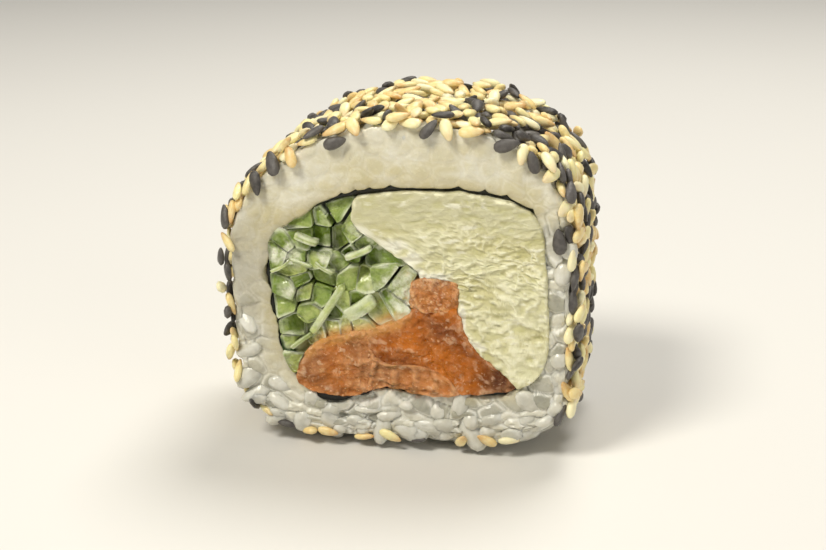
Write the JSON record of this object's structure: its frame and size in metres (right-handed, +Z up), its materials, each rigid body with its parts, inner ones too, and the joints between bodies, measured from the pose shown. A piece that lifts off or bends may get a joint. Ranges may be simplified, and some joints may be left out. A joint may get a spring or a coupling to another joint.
{
  "type": "uramaki roll piece",
  "caption": "One cut piece of an inside-out sushi roll: sesame-coated rice round a seaweed sheet, filled with cream cheese, cucumber strips and salmon.",
  "frame": {"origin": "centre of the underside, at the bottom centre of the piece's bounding box", "axes": "+Z up, +Y along the roll's axis from the front cut face to the back one, +X across the cut face to the right"},
  "size_m": [0.0446, 0.0264, 0.0429],
  "materials": {
    "rice": "moist satin",
    "seaweed": "dull",
    "cream_cheese": "soft satin",
    "cucumber": "wet",
    "salmon": "wet"
  },
  "bodies": {
    "root": {"rice_with_sesame": "rice", "seaweed_sheet": "seaweed", "cream_cheese": "cream_cheese", "cucumber_strips": "cucumber", "salmon_top_lobe": "salmon", "salmon_main_strip": "salmon", "salmon_lower_strip": "salmon"}
  },
  "joints": []
}
